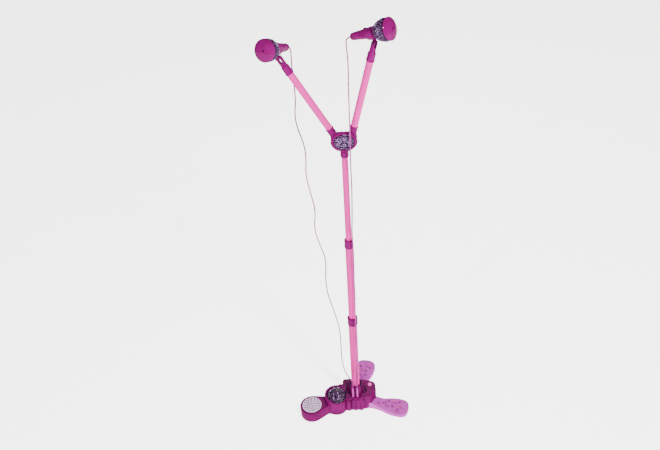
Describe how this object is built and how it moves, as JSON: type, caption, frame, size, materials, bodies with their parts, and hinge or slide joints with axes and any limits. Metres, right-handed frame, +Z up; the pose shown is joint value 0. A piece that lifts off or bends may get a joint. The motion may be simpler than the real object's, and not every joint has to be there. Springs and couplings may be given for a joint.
{
  "type": "toy karaoke microphone stand",
  "caption": "Toy karaoke stand: two wired microphones on leaning arms over a telescopic mast, with a lobed speaker base and paddle feet.",
  "frame": {"origin": "on the floor under the mast's axis", "axes": "+Z up along the mast, -Y towards the front of the base, +X to the stand's right as seen from the front"},
  "size_m": [0.3456, 0.2389, 1.22],
  "materials": {
    "magenta_shell": "moulded glossy magenta",
    "pink_tube": "light pink satin tube",
    "lilac_foot": "lilac-pink moulded paddle",
    "dark_violet": "dark violet printed plastic",
    "pattern_plate": "dark violet and silver swirl print",
    "grille_white": "pale lavender perforated plastic",
    "clear_dome": "clear domed lens with a printed lattice",
    "lamp": "clear LED lens",
    "rose_button": "light pink plastic",
    "board_green": "glass-fibre circuit board",
    "black_plastic": "black plastic",
    "metal": "steel",
    "cell": "battery cell jacket",
    "cord_mauve": "thin mauve-pink flexible cord"
  },
  "bodies": {
    "base": {"base_top_shell": "magenta_shell", "base_bottom_plate": "black_plastic", "batteries": "cell", "main_board": "board_green", "speaker_driver": "black_plastic", "speaker_grille": "grille_white", "light_dome": "clear_dome", "light_board": "board_green", "leds": "lamp", "base_screws": "metal", "right_foot": "lilac_foot", "rear_foot": "lilac_foot", "left_jack": "black_plastic", "right_jack": "black_plastic", "left_wing_trim": "dark_violet", "right_wing_trim": "dark_violet", "lower_tube": "pink_tube", "left_cord": "cord_mauve", "right_cord": "cord_mauve"},
    "battery_door": {"battery_door": "black_plastic"},
    "power_button": {"power_button": "rose_button"},
    "lower_collar": {"lower_collar": "magenta_shell"},
    "middle_mast": {"middle_tube": "pink_tube", "middle_bush": "black_plastic"},
    "upper_collar": {"upper_collar": "magenta_shell"},
    "upper_mast": {"upper_tube": "pink_tube", "upper_bush": "black_plastic", "hub_front": "magenta_shell", "hub_rear": "magenta_shell", "hub_plate": "pattern_plate", "hub_socket": "magenta_shell", "hub_screws": "metal", "arm_pivots": "metal"},
    "left_plug": {"left_plug": "rose_button"},
    "right_plug": {"right_plug": "rose_button"},
    "left_arm": {"left_arm_socket": "magenta_shell", "left_arm_tube": "pink_tube"},
    "left_clip": {"left_clip_socket": "magenta_shell", "left_clip_pin": "metal"},
    "left_cradle": {"left_mic_cradle": "magenta_shell"},
    "left_mic": {"left_mic_handle": "magenta_shell", "left_mic_band": "pattern_plate", "left_mic_ring": "dark_violet", "left_mic_head": "magenta_shell", "left_mic_capsule": "black_plastic", "left_mic_relief": "cord_mauve"},
    "left_switch": {"left_mic_switch": "dark_violet"},
    "right_arm": {"right_arm_socket": "magenta_shell", "right_arm_tube": "pink_tube"},
    "right_clip": {"right_clip_socket": "magenta_shell", "right_clip_pin": "metal"},
    "right_cradle": {"right_mic_cradle": "magenta_shell"},
    "right_mic": {"right_mic_handle": "magenta_shell", "right_mic_band": "pattern_plate", "right_mic_ring": "dark_violet", "right_mic_head": "magenta_shell", "right_mic_capsule": "black_plastic", "right_mic_relief": "cord_mauve"},
    "right_switch": {"right_mic_switch": "dark_violet"}
  },
  "joints": [
    {"name": "lower_mast_slide", "type": "slide", "parent": "base", "child": "middle_mast", "axis": [0, 0, 1], "range_m": [-0.235, 0], "deforming": ["left_cord", "right_cord"]},
    {"name": "upper_mast_slide", "type": "slide", "parent": "middle_mast", "child": "upper_mast", "axis": [0, 0, 1], "range_m": [-0.235, 0], "deforming": ["left_cord", "right_cord"]},
    {"name": "lower_collar_twist", "type": "hinge", "parent": "base", "child": "lower_collar", "pos_m": [0, 0, 0.348], "axis": [0, 0, 1], "range_deg": [0, 60]},
    {"name": "upper_collar_twist", "type": "hinge", "parent": "middle_mast", "child": "upper_collar", "pos_m": [0, 0, 0.6235], "axis": [0, 0, 1], "range_deg": [0, 60]},
    {"name": "power_button_press", "type": "slide", "parent": "base", "child": "power_button", "axis": [0, 0, -1], "range_m": [0, 0.0015], "stiffness_N_per_m": 400, "springref_m": -0.001},
    {"name": "battery_door_lift", "type": "slide", "parent": "base", "child": "battery_door", "axis": [0, 0, -1], "range_m": [0, 0.03]},
    {"name": "left_arm_lean", "type": "hinge", "parent": "upper_mast", "child": "left_arm", "pos_m": [-0.0187, 0, 0.936], "axis": [0, 1, 0], "range_deg": [-30.2, 17.8], "deforming": ["left_cord"]},
    {"name": "left_clip_swivel", "type": "hinge", "parent": "left_arm", "child": "left_clip", "pos_m": [-0.13425, 0, 1.13776], "axis": [-0.497, 0, 0.8678], "range_deg": [-45, 45], "deforming": ["left_cord"]},
    {"name": "left_clip_tilt", "type": "hinge", "parent": "left_clip", "child": "left_cradle", "pos_m": [-0.13425, 0, 1.13776], "axis": [-0.8488, 0.2079, -0.4861], "range_deg": [-45, 45], "deforming": ["left_cord"]},
    {"name": "left_mic_pull", "type": "slide", "parent": "left_cradle", "child": "left_mic", "axis": [-0.3703, -0.8901, 0.2658], "range_m": [0, 0.085], "deforming": ["left_cord"]},
    {"name": "left_mic_switch_slide", "type": "slide", "parent": "left_mic", "child": "left_switch", "axis": [-0.3703, -0.8901, 0.2658], "range_m": [-0.003, 0.003]},
    {"name": "left_plug_pull", "type": "slide", "parent": "base", "child": "left_plug", "axis": [0, 0, 1], "range_m": [0, 0.02], "deforming": ["left_cord"]},
    {"name": "right_arm_lean", "type": "hinge", "parent": "upper_mast", "child": "right_arm", "pos_m": [0.0187, 0, 0.936], "axis": [0, 1, 0], "range_deg": [-2.4, 45.6], "deforming": ["right_cord"]},
    {"name": "right_clip_swivel", "type": "hinge", "parent": "right_arm", "child": "right_clip", "pos_m": [0.07652, 0, 1.1612], "axis": [0.2487, 0, 0.9686], "range_deg": [-45, 45], "deforming": ["right_cord"]},
    {"name": "right_clip_tilt", "type": "hinge", "parent": "right_clip", "child": "right_cradle", "pos_m": [0.07652, 0, 1.1612], "axis": [-0.6481, -0.7431, 0.1664], "range_deg": [-45, 45], "deforming": ["right_cord"]},
    {"name": "right_mic_pull", "type": "slide", "parent": "right_cradle", "child": "right_mic", "axis": [0.7487, -0.5818, 0.3177], "range_m": [0, 0.085], "deforming": ["right_cord"]},
    {"name": "right_mic_switch_slide", "type": "slide", "parent": "right_mic", "child": "right_switch", "axis": [0.7487, -0.5818, 0.3177], "range_m": [-0.003, 0.003]},
    {"name": "right_plug_pull", "type": "slide", "parent": "base", "child": "right_plug", "axis": [0, 0, 1], "range_m": [0, 0.02], "deforming": ["right_cord"]}
  ]
}
